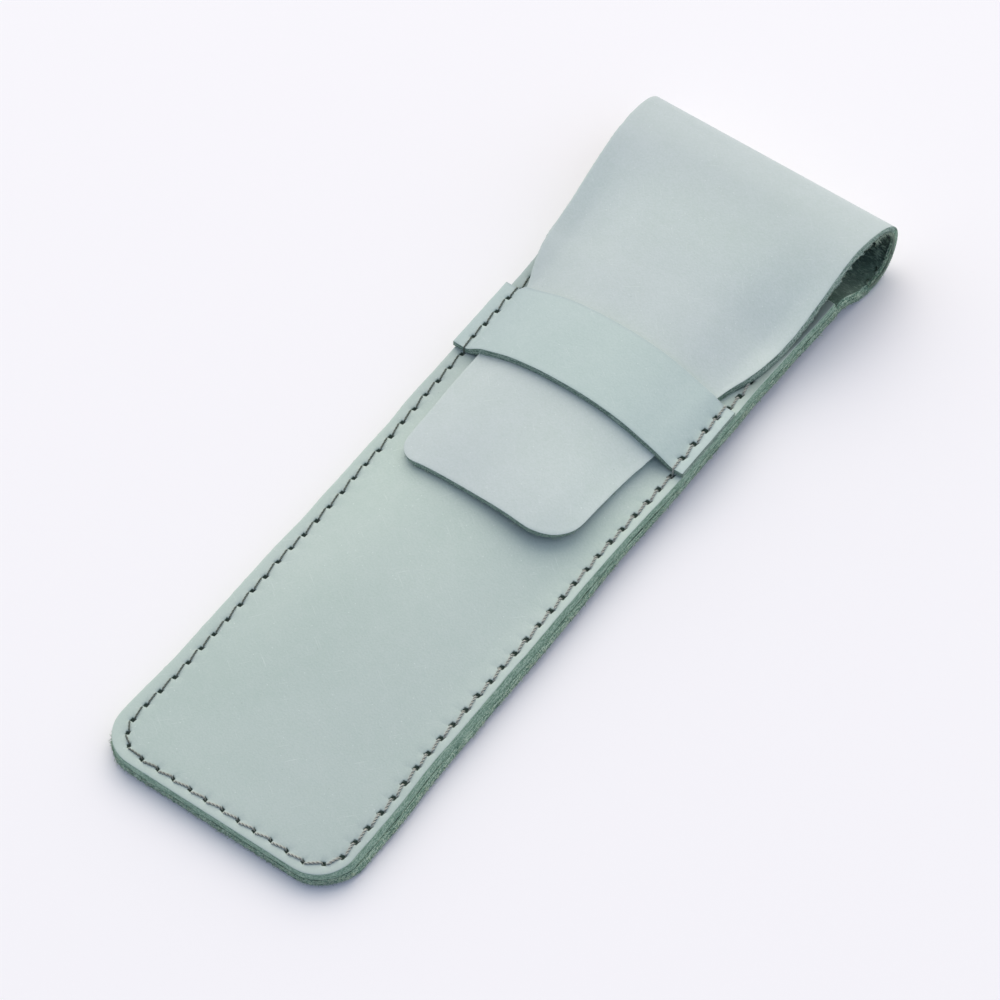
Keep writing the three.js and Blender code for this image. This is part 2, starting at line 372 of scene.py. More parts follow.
def paintGrain(tree, lay, look):
    mottle = noiseOf(tree, lay, look.mottle, 3.0)
    pore = noiseOf(tree, lay, look.pore, 2.0, 0.6)
    total = mathOf(tree, "MULTIPLY_ADD", mottle, look.mottleShare, noiseOf(tree, lay, look.cloud))
    total = mathOf(tree, "MULTIPLY_ADD", pore, look.poreShare, total)
    colour = blendOf(tree, rangeOf(tree, total, *look.tone), *look.dye)
    # specks sit in some cells of a random net only
    for shade, cell, empty, strength in look.specks:
        net = addNode(tree, "TexVoronoi", {"Vector": lay, "Scale": 1 / cell}).outputs
        chance = addNode(tree, "SeparateColor", {0: net["Color"]}).outputs[0]
        size = look.speck / cell
        spot = rangeOf(tree, net["Distance"], look.speckCore * size, size, strength, 0.0)
        spot = mathOf(tree, "MULTIPLY", spot, mathOf(tree, "GREATER_THAN", chance, empty))
        colour = blendOf(tree, spot, colour, shade)
    # scuffs in two directions
    for angle in look.scuffTurns:
        turned = addNode(tree, "VectorRotate", {"Vector": lay, "Angle": angle},
                rotation_type="Z_AXIS").outputs[0]
        line = noiseOf(tree, drawnOut(tree, turned, look.scuffSize), 1.0, 1.0)
        mark = rangeOf(tree, line, *look.scuffLevels, 0.0, look.scuffStrength)
        colour = blendOf(tree, mark, colour, look.scuff)
    # painted light and shade: the attribute scales the colour up or down
    paled = vectorOf(tree, "SCALE", {0: look.paled, "Scale": meshValue(tree, "faded")})
    colour = vectorOf(tree, "MULTIPLY_ADD", {0: colour, 1: paled, 2: colour})
    for key in ("rim", "pricked"):
        colour = blendOf(tree, meshValue(tree, key), colour, look[key])
    cells = addNode(tree, "TexVoronoi", {"Vector": lay, "Scale": 1 / look.pore},
            feature="SMOOTH_F1").outputs["Distance"]
    rough = rangeOf(tree, mottle, 0.0, 1.0, *look.rough)
    height = mathOf(tree, "MULTIPLY_ADD", cells, look.cellShare, pore)
    return {"Base Color": colour, "Roughness": rough}, height


# Knife-cut edge of the same hide, unpainted: fibre ends a little darker than the grain, drawn out
# along the cut, flecked pale where they are torn
edgeLook = Named(
    fleck=0.34, streak=(3.2, 0.3), streakShare=0.7, levels=(0.68, 0.83, 0.98), bump=0.7, bumpDeep=0.12,
    sockets={"Roughness": 0.9, "Specular IOR Level": 0.25},
)
# the front's and back's cut edges are lighter than the strap's and tongue's: partly their own colour,
# partly painted light on the right-hand cuts and painted shade on the lower cuts facing away from the
# light
edgeShades = {
    "clean": ("#556B61", "#799083", "#A6B8AC"),
    "sewn": ("#6A8775", "#86A591", "#ABC3B0"),
    "frayed": ("#516C5E", "#7EA08A", "#C2D5C0"),
}


def paintEdge(tree, lay, look):
    fleck = noiseOf(tree, lay, look.fleck, 3.0, 0.65)
    streak = noiseOf(tree, drawnOut(tree, lay, look.streak), 1.0)
    both = mathOf(tree, "MULTIPLY_ADD", streak, look.streakShare, fleck)
    # rim scales the edge colour: a partly painted highlight on the arris row, and painted light and shade
    # down the cut
    level = mathOf(tree, "ADD", meshValue(tree, "rim"), 1.0)
    colour = rampOf(tree, both, look.levels, look.shades)
    return {"Base Color": vectorOf(tree, "SCALE", {0: colour, "Scale": level})}, both


# Flesh side of the hide, left raw: a dark felted nap of loose fibres combed roughly across the
# hide, paler where single fibres stand up
suedeLook = Named(
    shades=("#16241B", "#40594A", "#A9C0A8"),
    levels=(0.55, 0.76, 0.98),
    # painted light: paler flesh where the loop's floor faces up to the light
    worn="#7F9A88",
    nap=0.45, tuft=2.2, tuftShare=0.5, swirl=(1.8, 1.8, 1.8), comb=(0.32, 1.0, 1.0),
    bump=0.9, bumpDeep=0.25,
    sockets={"Roughness": 0.95, "Specular IOR Level": 0.15, "Sheen Weight": 0.2, "Sheen Roughness": 0.6},
)


def paintSuede(tree, lay, look):
    tuft = noiseOf(tree, lay, look.tuft)
    swirl = vectorOf(tree, "MULTIPLY_ADD", {0: tuft.node.outputs["Color"], 1: look.swirl, 2: lay})
    combed = vectorOf(tree, "MULTIPLY", {0: swirl, 1: look.comb})
    nap = noiseOf(tree, combed, look.nap, 3.0, 0.65)
    both = mathOf(tree, "MULTIPLY_ADD", tuft, look.tuftShare, nap)
    colour = rampOf(tree, both, look.levels, look.shades)
    return {"Base Color": blendOf(tree, meshValue(tree, "faded"), colour, look.worn)}, nap


# Single collagen fibres pulled out of the cut: the dye hardly took, so they are pale and dull
fibreLook = Named(
    shades=("#94AB95", "#CFDDCB"),
    length=1.5, sockets={"Roughness": 0.8, "Specular IOR Level": 0.3},
)


def paintFibre(tree, lay, look):
    return {"Base Color": blendOf(tree, noiseOf(tree, lay, look.length), *look.shades)}, None


# Two-ply linen thread, drawn through wax: grey taupe plies with a dull shine; painted shade in the hollows
# between the plies and over the left seam's thread
threadLook = Named(
    shades=("#94978F", "#C9CBC3"),
    # painted shade, mixed in where the thread's hollows and its left side are in shade
    soiled="#4A544B",
    fibre=0.12, bump=0.4, bumpDeep=0.03, sockets={"Roughness": 0.55},
)


def paintLinen(tree, lay, look):
    wax = noiseOf(tree, lay, look.fibre, 3.0)
    colour = blendOf(tree, wax, *look.shades)
    return {"Base Color": blendOf(tree, meshValue(tree, "faded"), colour, look.soiled)}, wax


grain = {cut: makeMaterial("matt dyed hide, " + cut + " cut", paintGrain, Named(hideLook, dye=shades))
        for cut, shades in dye.items()}
edge = {cut: makeMaterial(cut + " cut edge of dyed hide", paintEdge, Named(edgeLook, shades=shades))
        for cut, shades in edgeShades.items()}
suede = makeMaterial("raw suede flesh side", paintSuede, suedeLook)
fibre = makeMaterial("loose hide fibres", paintFibre, fibreLook)
linen = makeMaterial("waxed twisted linen thread", paintLinen, threadLook)
print("hide, edge, suede, fibre and thread materials made")

# Shapes of the sheets; side is 1 on the right and -1 on the left

knife = Named(slow=0.12, slowRun=9, quick=0.05, quickRun=2.3)
# how far each side strays along Y: on the right the swell beside the strap, a dent and the sewn corner,
# on the left the whole side, a waist and the corner
sway = {
    1: ((0.7, (8, 24), (82, -22)), (-0.25, (50, 15)), (0.6, (bottom + 36, -18))),
    -1: ((0.15,), (-0.35, (-32, 12), (18, -12)), (0.75, (bottom + 26, -18))),
}
lean = Named(left=0.12, low=1.25, high=0.4, highIn=(-20, 48), start=(1, 9))


def wobble(along, seed):
    # slow drift of a hand-held knife
    return (knife.slow * noiseAt(along / knife.slowRun, seed, 0.5)
            + knife.quick * noiseAt(along / knife.quickRun, seed, 4.5))


def panelHalf(y, over=0.0, low=bottom):
    side = mix(pocketHalf, mouthHalf, ease(y - mouth, -pouch.flare, pouch.flare)) + over
    below = max(0.0, pouch.corner - (y - low))
    return side - pouch.corner + math.sqrt(max(0.0, pouch.corner ** 2 - below ** 2))


def sideDrift(side, y):
    return humps(sway[side], y)


def edgeLean(side, y):
    # both layers were trimmed with a slanted knife, most at the lower right
    if side < 0:
        return lean.left
    return mix(lean.low, lean.high, ease(y, *lean.highIn)) * ease(y - bottom, *lean.start)


def frontBorder(side, y):
    return panelHalf(y) + sideDrift(side, y) + wobble(y, 3 + side)


flap = Named(
    lift=0.4,  # above the front panel
    edgeLift=0.04,  # where the strap presses its sides down
    cornerLift=1.6,  # the right corner of the tip curls up
    riseFrom=-20,  # from the mouth, where it begins to climb to the fold
    tip=tongueLow.y,
    skew=0.035,  # the tip is cut a little askew
    skewIn=(22, -20),  # start and run along Y
    tipRadius={1: 9.0, -1: 5.5},
    pressed=(13, 8),  # half width where the strap begins to press, and run
    curlAcross=(-8, 26), curlAlong=(26, -24),
    root=(58, 22),  # from the tongue to the root
)
# half widths of the flap from the tip to the fold, as (Y, half)
flapCut = {
    1: ((0, 20.7), (12, 20.8), (24, 21.3), (32, 22.2), (46, 23.2), (52, 24.3), (59, 26.4), (65, 27.6),
        (74, 28.6), (84, 29.2), (93, flapHigh.x - 0.2)),
    -1: ((0, 21.2), (10, 21.4), (24, 21.8), (32, 21.9), (44, 22.7), (51, 24.2), (58, 27.1), (65, 28.8),
        (74, 29.3), (84, 29.4), (93, flapHigh.x - 0.2)),
}


def flapHalf(side, y):
    radius = flap.tipRadius[side]
    below = max(0.0, flap.tip + radius - y)
    return through(flapCut[side], y) - radius + math.sqrt(max(0.0, radius ** 2 - below ** 2))


# The hide is never quite flat: long shallow waves, shared by the layers that lie on each other
wave = Named(height=0.14, across=17, along=26, start=20)


def rise(x, y):
    across = min(1.0, abs(x) / (panelHalf(y) - pouch.rim))
    along = ease(y - bottom, pouch.crownStart, pouch.crownFull - pouch.crownStart)
    inner = (1 - across ** pouch.crownFlat) ** pouch.crownEase
    ripple = wave.height * noiseAt(x / wave.across, y / wave.along, 3.1)
    return (crown * along + ripple * ease(y, bottom, wave.start)) * inner


def frontTop(x, y):
    return frontRim + rise(x, y)


def flapTop(x, y):
    climbFrom = mouth + flap.riseFrom
    climb = ease(y, climbFrom, foldEnd - climbFrom)
    lift = mix(flap.lift, flap.edgeLift, ease(abs(x), *flap.pressed))
    lift += flap.cornerLift * ease(x, *flap.curlAcross) * ease(y, *flap.curlAlong)
    return mix(frontTop(x, min(y, mouth)) + lift + leather, loopTop, climb)


def layOn(top):
    # places a point of a sheet at a depth under its upper face
    step = 0.2

    def place(x, y, depth):
        slopeX = (top(x + step, y) - top(x - step, y)) / (2 * step)
        slopeY = (top(x, y + step) - top(x, y - step)) / (2 * step)
        up = Vector((-slopeX, -slopeY, 1)).normalized()
        return Vector((x, y, top(x, y))) - up * depth
    return place


def bezier(a, b, c, d, t):
    s = 1 - t
    return a * s ** 3 + b * 3 * s * s * t + c * 3 * s * t * t + d * t ** 3


fold = Named(
    samples=160,  # on each of its three curves
    arm=0.5523,  # of a quarter circle
    leave=0.7,  # how far the hide runs on flat from the back, and on the belly
    arrive=1.3,
)


def foldSamples():
    start = Vector((foldStart, 0.0))
    end = Vector((foldEnd, loopTop))
    dip = Vector(((bellyLow.x - foldStart) / 2, 0))
    low = Vector((fold.arm * (apex.x - bellyLow.x), 0))
    high = Vector((fold.arm * (apex.x - foldEnd), 0))
    tall = Vector((0, fold.arm * (apex.y - bellyLow.y)))
    curves = (
        (start, start + dip * fold.leave, bellyLow - dip * fold.arrive, bellyLow),
        (bellyLow, bellyLow + low, apex - tall, apex),
        (apex, apex + tall, end + high, end),
    )
    points = [start]
    for curve in curves:
        points += [bezier(*curve, i / fold.samples) for i in range(1, fold.samples + 1)]
    return points


def runsOf(points):
    runs = [0.0]
    for before, after in zip(points, points[1:]):
        runs.append(runs[-1] + (after - before).length)
    return runs


foldPoints = foldSamples()
foldRun = runsOf(foldPoints)
foldLength = foldRun[-1]
apexIndex = 2 * fold.samples
foldTurn = foldRun[apexIndex]  # run from the mouth to the apex


def foldAt(run):
    i = min(max(bisect_right(foldRun, run) - 1, 0), len(foldPoints) - 2)
    share = (run - foldRun[i]) / (foldRun[i + 1] - foldRun[i])
    point = foldPoints[i].lerp(foldPoints[i + 1], share)
    ahead = foldPoints[min(i + 2, len(foldPoints) - 1)] - foldPoints[i]
    behind = foldPoints[i + 1] - foldPoints[max(i - 1, 0)]
    heading = behind.lerp(ahead, share).normalized()
    return point, Vector((heading.y, -heading.x))  # outward is right of the heading


# The long hide is laid out flat: v is Y on the back, then the run round the fold, then back along the flap

flapPlace = layOn(flapTop)


def flapY(v):
    return foldEnd - (v - foldStart - foldLength)


def hidePlace(x, v, depth):
    run = v - foldStart
    if run <= 0:
        return Vector((x, v, depth))
    if run <= foldLength:
        point, outward = foldAt(run)
        point = point - outward * depth
        return Vector((x, point.x, point.y))
    y = flapY(v)
    return flapPlace(x, y - flap.skew * x * ease(y, *flap.skewIn), depth)


back = Named(
    over=0.05, overBottom=0.12, uneven=0.1, unevenRun=13,
    frontShare=0.45,  # of the edge's slant
    backShare=0.9, bellyOut=0.35,
    widen=0.55,  # share of the way to the belly's lowest line
)
backBottom = bottom - back.overBottom


def backHalf(side, y):
    uneven = back.uneven * noiseAt(y / back.unevenRun, 5.5, side)
    over = back.over + uneven + edgeLean(side, y)
    return panelHalf(y, over + sideDrift(side, y), backBottom)


def hideBorder(side, v):
    run = v - foldStart
    drift = wobble(v, 7 + side)
    if run <= foldTurn:
        y = v if run <= 0 else foldAt(run)[0].x
        low = backHalf(side, min(y, mouth))
        widen = ease(y, mouth, back.widen * pouch.bellyReach)
        low += (foldHalf - backHalf(side, mouth)) * widen
        belly = math.sin(math.pi * max(0.0, run) / foldTurn) if side > 0 else 0.0
        return low + back.bellyOut * belly + drift
    if run <= foldLength:
        y = foldAt(run)[0].x
        return mix(flapHalf(side, foldEnd), foldHalf, (y - foldEnd) / (apex.x - foldEnd)) + drift
    return flapHalf(side, flapY(v)) + drift


strap = Named(
    under=0.15,  # above the front panel at its ends
    endThick=1.45,  # pressed thin by the stitches
    over=0.06,  # above the flap
    proud={1: 0.2, -1: 0.4},  # its ends stand out past the front
    low=strapLow.y + 0.2, high=strapHigh.y + 0.2,
    inset=0.3,  # of its knee, from the flap's edge
    bend=0.25,  # share of the taut length that curves up from the rim
    knee=0.5, wobble=0.6,
)


def strapArch(x, y):
    side = sideOf(x)
    foot = pocketHalf + sideDrift(side, y) - seam.margin[side]
    return (foot - abs(x)) / (foot - flapHalf(side, y) + strap.inset)


def strapTop(x, y):
    # flat on the rim outside the seam, then taut up to the flap's side, then on the flap
    side = sideOf(x)
    low = frontTop(x, y) + strap.under + strap.endThick
    t = strapArch(x, y)
    if t <= 0:
        return low
    on = flapTop(x, y) + strap.over + leather
    knee = side * (flapHalf(side, y) - strap.inset)
    high = flapTop(knee, y) + strap.over + leather
    bend = strap.bend
    eased = t * t / (2 * bend) if t < bend else t - bend / 2
    taut = mix(frontRim + strap.under + strap.endThick, high, eased / (1 - bend / 2))
    near = max(0.0, 1 - abs(on - taut) / strap.knee)
    return min(on, taut) - near * near * strap.knee / 4


def strapBorder(side, y):
    drift = sideDrift(side, y) + strap.proud[side]
    return pocketHalf + drift + strap.wobble * wobble(y, 21 + side)


# Seam: awl slots down the right side, round the bottom and up the left, spaced by hand as a saddler does

seam = Named(
    first={1: 7.5, -1: 8.35},  # from the bottom to the lowest slot of a side
    steps={1: 27, -1: 26},  # from there to the strap
    pitch=4.0,  # on the strap and above it
    margin={1: 2.1, -1: 2.65}, bottomMargin=2.4, bottomRun=(20.9, -18.9), bottomSteps=10,
    turns={1: (45,), -1: (60, 30)},  # slots in the corners, degrees from the side
    mouthEnd=3.0,  # mouth to the last slot
    strapGap=0.42,  # strap's edge to the slot below it
    slotLong=2.0, slotWide=1.4,
    size={1: 1.0, -1: 0.78},  # slots on the left and along the bottom are smaller
    sizeBottom=0.75,
    longShare=(0.45, 0.53),  # of a slot's length and width, to each side of its middle
    wideShare=(0.42, 0.55),
    lean=42,  # degrees between slot and seam
    leanBottom=55, turn=5, jitter=0.1, seed=5,
    wander=(-0.45, 0.3),  # of the left side
    wanderIn=(-80, 120), cornerShare=0.6,
    lip=0.35,  # width of the drawn-in lip round a slot
    lipDeep=0.16, deep=0.75, steep=3.2,
    dark=(0.035, -0.1),  # where the painted shade inside a slot ends, and its run
    grooveWide=0.6, between=8,
    reach=2.2,  # no slot reaches farther
    slant=0.92,  # from a diamond's measure to a distance
    rings=(0.35, 0.2, 0.05, -0.06, -0.18), ringSides=16, spine=(-0.3, 0.0, 0.3),
)


def seamDrift(side, y):
    # on the left the seam wanders out towards the strap
    wander = mix(*seam.wander, ease(y, *seam.wanderIn)) if side < 0 else 0.0
    return sideDrift(side, y) + wander


def sideRun(side):
    low, high = bottom + seam.first[side], strapLow.y - seam.strapGap
    steps = seam.steps[side]
    places = [mix(low, high, i / steps) for i in range(steps + 1)]
    while places[-1] + seam.pitch < mouth - seam.mouthEnd:
        places.append(places[-1] + seam.pitch)
    slots = []
    for y in places:
        half = panelHalf(max(y, bottom + pouch.corner)) + seamDrift(side, y)
        slots.append((side * (half - seam.margin[side]), y, -90.0 * side))
    return slots


def cornerRun(side):
    wide, tall = pouch.corner - seam.margin[side], pouch.corner - seam.bottomMargin
    places = []
    for degrees in seam.turns[side]:
        angle = math.radians(degrees)
        drift = seam.cornerShare * seamDrift(side, bottom)
        places.append((side * (pocketHalf - pouch.corner + drift + wide * math.cos(angle)),
                bottom + pouch.corner - tall * math.sin(angle), side * (-90 - degrees)))
    return places


def seamSlots():
    start, end = seam.bottomRun
    count = seam.bottomSteps
    base = [(mix(start, end, i / count), bottom + seam.bottomMargin, 180.0) for i in range(count + 1)]
    pick = random.Random(seam.seed)
    slots = []
    for x, y, heading in sideRun(1)[::-1] + cornerRun(1) + base + cornerRun(-1) + sideRun(-1):
        onBase = abs(math.cos(math.radians(heading)))
        lean = mix(seam.lean, seam.leanBottom, onBase)
        turn = math.radians(heading - lean + pick.uniform(-seam.turn, seam.turn))
        shift = Vector((pick.uniform(-1, 1), pick.uniform(-1, 1))) * seam.jitter
        size = mix(seam.size[sideOf(x)], seam.sizeBottom, onBase)
        slots.append(Named(at=Vector((x, y)) + shift, along=Vector((math.cos(turn), math.sin(turn))),
                long=size * seam.slotLong * pick.uniform(*seam.longShare),
                wide=size * seam.slotWide * pick.uniform(*seam.wideShare),
                layer="strap" if strap.low < y < strap.high else "front"))
    return slots


def treeOf(points):
    tree = kdtree.KDTree(len(points))
    for index, point in enumerate(points):
        tree.insert(point.to_3d(), index)
    tree.balance()
    return tree


slots = seamSlots()
slotTree = treeOf([s.at for s in slots])
seamTree = treeOf([a.at.lerp(b.at, j / seam.between)
        for a, b in zip(slots, slots[1:]) for j in range(seam.between)])


def fromSlot(point, layer):
    # distance to the nearest slot's diamond, less than nothing inside it
    nearest = math.inf
    for _, index, _ in slotTree.find_range(point.to_3d(), seam.reach):
        slot = slots[index]
        if layer not in (slot.layer, "back"):
            continue
        offset = point - slot.at
        along = abs(offset.dot(slot.along)) / slot.long
        across = abs(offset.cross(slot.along)) / slot.wide
        nearest = min(nearest, (along + across - 1) * slot.wide * seam.slant)
    return nearest


def drawnIn(point, groove, layer):
    away = fromSlot(point, layer)
    line = seamTree.find(point.to_3d())[2]
    sunk = groove * math.exp(-((line / seam.grooveWide) ** 2))
    # painted shade inside the slot, fading out at its lip
    pricked = ease(away, *seam.dark)
    if away < 0:
        share = smooth(-seam.steep * away / seam.slotWide)
        return sunk + mix(seam.lipDeep, seam.deep, share), pricked
    return sunk + seam.lipDeep * max(0.0, 1 - away / seam.lip) ** 2, pricked


def slotRings(layer):
    points = []
    for slot in slots:
        if layer not in (slot.layer, "back"):
            continue
        along = slot.along
        across = Vector((-along.y, along.x))
        for grow in seam.rings:
            wide = slot.wide + grow
            reach = slot.long * wide / slot.wide if grow < 0.1 else slot.long + grow
            for i in range(seam.ringSides):
                angle = 2 * math.pi * i / seam.ringSides
                share = abs(math.cos(angle)) + abs(math.sin(angle))
                points.append(slot.at + along * (reach * math.cos(angle) / share)
                        + across * (wide * math.sin(angle) / share))
        points += [slot.at + along * slot.long * share for share in seam.spine]
    return points


print("seam of", len(slots), "slots set out")

# A sheet of hide: a flat pattern, filled with points, laid in place and given its thickness


def sow(groups):
    # keeps a point only where nothing sown before lies within its group's gap
    cells = {}
    kept = []
    for points, gap in groups:
        reach = math.ceil(gap)
        for point in points:
            column, row = math.floor(point.x), math.floor(point.y)
            near = (other for i in range(column - reach, column + reach + 1)
                    for j in range(row - reach, row + reach + 1) for other in cells.get((i, j), ()))
            if all((other - point).length >= gap for other in near):
                cells.setdefault((column, row), []).append(point)
                kept.append(point)
    return kept


def evenly(points, step):
    run = runsOf(points)
    count = max(2, round(run[-1] / step))
    spaced = []
    for k in range(count + 1):
        at = run[-1] * k / count
        i = min(bisect_right(run, at) - 1, len(points) - 2)
        spaced.append(points[i].lerp(points[i + 1], (at - run[i]) / max(run[i + 1] - run[i], 1e-9)))
    return spaced


def outlineOf(border, low, high, step, openLow=False, openHigh=False):
    # right side up, across the top, left side down, across the bottom; open ends run on into other hide
    rows = spread(low, high, net.trace)
    right = evenly([Vector((border(1, v), v)) for v in rows], step)
    left = evenly([Vector((-border(-1, v), v)) for v in reversed(rows)], step)
    top = evenly([right[-1], left[0]], step)[1:-1]
    base = evenly([left[-1], right[0]], step)[1:-1]
    points = right + top + left + base
    isOpen = ([False] * (len(right) - 1) + [openHigh] * (len(top) + 1) + [False] * (len(left) - 1)
            + [openLow] * (len(base) + 1))
    outline = []
    for i, point in enumerate(points):
        before = (point - points[i - 1]).normalized()
        after = (points[(i + 1) % len(points)] - point).normalized()
        n0, n1 = Vector((-before.y, before.x)), Vector((-after.y, after.x))
        if isOpen[i - 1] and isOpen[i]:
            inward = Vector((0.0, 0.0))
        elif isOpen[i]:
            inward = after / after.dot(n0)
        elif isOpen[i - 1]:
            inward = -before / -before.dot(n1)
        else:
            inward = (n0 + n1) / max(net.mitre, 1 + n0.dot(n1))
        outline.append(Named(at=point, inward=inward, open=isOpen[i]))
    return outline


def hasInward(o):
    # points along a split have none
    return o.inward.length > 0.5


net = Named(
    trace=0.1, mitre=0.4,
    edgeRows=((0.75, 2), (1.4, 3)),  # inset, and every how many points of the outline
    splitRows=(0.12, 0.3), ends=0.3, sides=0.8,
    ringGap=0.04,  # least gaps between points
    splitGap=0.05, edgeGap=0.42, gridShare=0.55, gridGap=0.15,
)


def fill(border, low, high, outline, look):
    # slots first with their own rings, rows close along the edge and the splits, then an even grid
    ring = [o.at for o in outline]
    rings = slotRings(look.layer) if "layer" in look else []
    edgeRows = []
    for inset, every in net.edgeRows:
        edgeRows += [o.at + o.inward * inset for o in outline[::every] if hasInward(o)]
    splitRows = []
    for o in outline:
        if not hasInward(o):
            onward = 1 if abs(o.at.y - low) < 0.01 else -1
            splitRows += [o.at + Vector((0, onward * gap)) for gap in net.splitRows]
    grid = [Vector((x, y)) for y in spread(low + net.ends, high - net.ends, look.stepY)
            for x in spread(-border(-1, y) + net.sides, border(1, y) - net.sides, look.stepX)]
    gridGap = net.gridShare * min(look.stepX, look.stepY) + net.gridGap
    sown = sow([(ring, 0.0), (rings, net.ringGap), (splitRows, net.splitGap),
            (edgeRows, net.edgeGap), (grid, gridGap)])
    return sown[len(ring):]


def addPoint(sheet, at, lay, rim=0.0, pricked=0.0, faded=0.0):
    sheet.faded.append(faded)
    sheet.places.append(at)
    sheet.lay.append(lay)
    sheet.rim.append(rim)
    sheet.pricked.append(pricked)
    return len(sheet.places) - 1


def addFace(sheet, corners, kind, isSmooth=True):
    sheet.faces.append(tuple(corners))
    sheet.kinds.append(kind)
    sheet.smooth.append(isSmooth)


def newSheet():
    keys = ("places", "lay", "rim", "pricked", "faded", "faces", "kinds", "smooth")
    return Named((key, []) for key in keys)


# How the hide was cut; a noise is given layer by layer
cutting = Named(
    nap=((1, 1.6, 5.0), (0.6, 0.5, 0.0)),  # share, waves per millimetre, seed
    thinnest=0.6,
    slantIn=3,  # the flesh side follows the slant of the cut this far in
    rimFlat=0.45,  # share of the rim at full tone
    turn=0.29,  # share of an arris, where its round is half way
    rows=(0.35, 0.55, 0.75),  # down the cut
    inner=(1.2, 5),  # share and size
    fray=((1, 0.7, 0.45, 0), (0.6, 4, 1, 9)),  # share, size along, size down, seed
    frayTop=0.3,
    ragged=((1, 0.9, 2.5), (0.8, 0.4, 7.5)),  # share, size along, seed
    raggedIn=0.2, raggedUpper=0.45,
)


def edgeSteps(soft, inner, deep):
    # pull from the edge and depth under the grain, row by row down the cut
    turn = cutting.turn
    middle = [(0, share * deep) for share in cutting.rows]
    return [(turn * soft, turn * soft), (0, soft), *middle, (0, deep - inner),
            (turn * inner, deep - turn * inner)]


def straysIn(look, p, run, depth, j, last):
    # fray, the slant of the knife, and tatters along the flesh side
    seed = look.seed
    frayed = look.fray * look.rough(p) * (1.0 if j else cutting.frayTop)
    frayed *= sum(share * noiseAt(run / a, depth / b, seed + c) for share, a, b, c in cutting.fray)
    pull = frayed - look.bevel(p) * depth / leather
    if j >= last - 1:
        ragged = sum(share * noiseAt(run / a, b, seed) for share, a, b in cutting.ragged)
        amount = 1.0 if j == last else cutting.raggedUpper
        pull += look.tatter(p) * (ragged + cutting.raggedIn) * amount
    return pull


def cutDown(sheet, outline, place, look):
    # rows of points down the cut edge
    rows = []
    last = len(edgeSteps(0, 0, 0)) - 1
    for j in range(last + 1):
        row, run = [], 0.0
        for i, o in enumerate(outline):
            p, deep = o.at, look.thick(o.at)
            run += (p - outline[i - 1].at).length if i else 0.0
            share, size = cutting.inner
            vary = 1 + share * noiseAt(run / size, 1.5, look.seed)
            inner = look.innerArris * vary * look.soften(p)
            pull, depth = edgeSteps(look.arris, inner, deep)[j]
            at = p + o.inward * (pull + straysIn(look, p, run, depth, j, last))
            lay = (run, depth, 80.0 + look.seed) if j else (at.x, at.y, look.seed)
            # the arris row takes rimTone, a partly painted highlight; the rows below take painted light
            # and shade down the cut
            rim = look.edgePale(p, depth / deep) if j else look.rimTone
            row.append(addPoint(sheet, place(at.x, at.y, depth), lay, rim, 0.0, look.faded(p)))
        rows.append(row)
    return rows


def cutHide(name, outline, inside, place, look):
    # grain side, cut edge with soft arrises, flesh side
    sheet = newSheet()
    turned = -1 if look.mirrored else 1
    layer = look.get("layer")
    flat = [o.at + o.inward * look.arris for o in outline] + inside
    made = geometry.delaunay_2d_cdt(flat, [], [list(range(len(outline)))], 1, 1e-7)
    flat = [Vector(p) for p in made[0]]
    onRing = {old: new for new, olds in enumerate(made[3]) for old in olds}
    edgeTree = treeOf([o.at for o in outline])
    cut = [o for o in outline if hasInward(o) and not o.open]
    cutTree = treeOf([o.at for o in cut])
    rimFlat = cutting.rimFlat * look.rimWide
    for p in flat:
        sunk, pricked = drawnIn(p, look.groove, layer) if layer else (0.0, 0.0)
        away = edgeTree.find(p.to_3d())[2]
        # rim: partly the pressed margin and partly a painted highlight along the rounded arris
        rim = look.rimTone * (1 - ease(away, rimFlat, look.rimWide - rimFlat))
        # the painted shade under the flap joins the painted shade of the slots
        pricked = max(pricked, look.stained(p))
        addPoint(sheet, place(p.x, p.y, sunk), (p.x, p.y, look.seed), rim, pricked, look.faded(p))
    for p in flat:
        nap = sum(share * noiseAt(p.x * a, p.y * a, b) for share, a, b in cutting.nap)
        deep = max(cutting.thinnest, look.thick(p) + look.nap * nap)
        _, i, away = cutTree.find(p.to_3d())
        slanted = look.bevel(cut[i].at) * max(0.0, 1 - away / cutting.slantIn) ** 2
        q = p - cut[i].inward * slanted
        addPoint(sheet, place(q.x, q.y, deep), (p.x, p.y, 40.0), faded=look.worn(p))
    count = len(flat)
    for a, b, c in made[2]:
        addFace(sheet, (a, b, c)[::turned], 0)
        addFace(sheet, (count + c, count + b, count + a)[::turned], 2)
    upperRing = [onRing[i] for i in range(len(outline))]
    rows = [upperRing, *cutDown(sheet, outline, place, look), [count + i for i in upperRing]]
    for j, (upper, lower) in enumerate(zip(rows, rows[1:])):
        for i, o in enumerate(outline):
            k = (i + 1) % len(outline)
            addFace(sheet, (upper[i], lower[i], lower[k], upper[k])[::turned], 0 if j == 0 else 1,
                    not o.open)
    addFibres(sheet, outline, place, look)
    return meshPiece(name, sheet, [grain[look.cut], edge[look.edge], suede, fibre])


tuft = Named(fibres=9, long=(0.9, 1.7), wide=(0.07, 0.12))


def addFibres(sheet, outline, place, look):
    # loose fibres standing out of the cut edge, and a few thicker tufts
    pick = random.Random(look.seed)
    spots = [i for i, o in enumerate(outline) if hasInward(o) and not o.open]
    for _ in range(look.fibres):
        i = pick.choice(spots)
        if look.fibreShare(outline[i].at) >= pick.random():
            addFibre(sheet, outline, i, place, look, pick, look.fibreLong, look.fibreWide)
    for x, v in look.tufts:
        i = min(spots, key=lambda k: (outline[k].at - Vector((x, v))).length)
        for _ in range(tuft.fibres):
            addFibre(sheet, outline, i, place, look, pick, tuft.long, tuft.wide)


spike = Named(outward=(0.25, 1.0), along=(0.3, 1.3), bend=0.35, tones=60,
        rings=((-0.25, 1.0), (0.35, 0.9), (0.7, 0.6)))  # place along it and share of its width


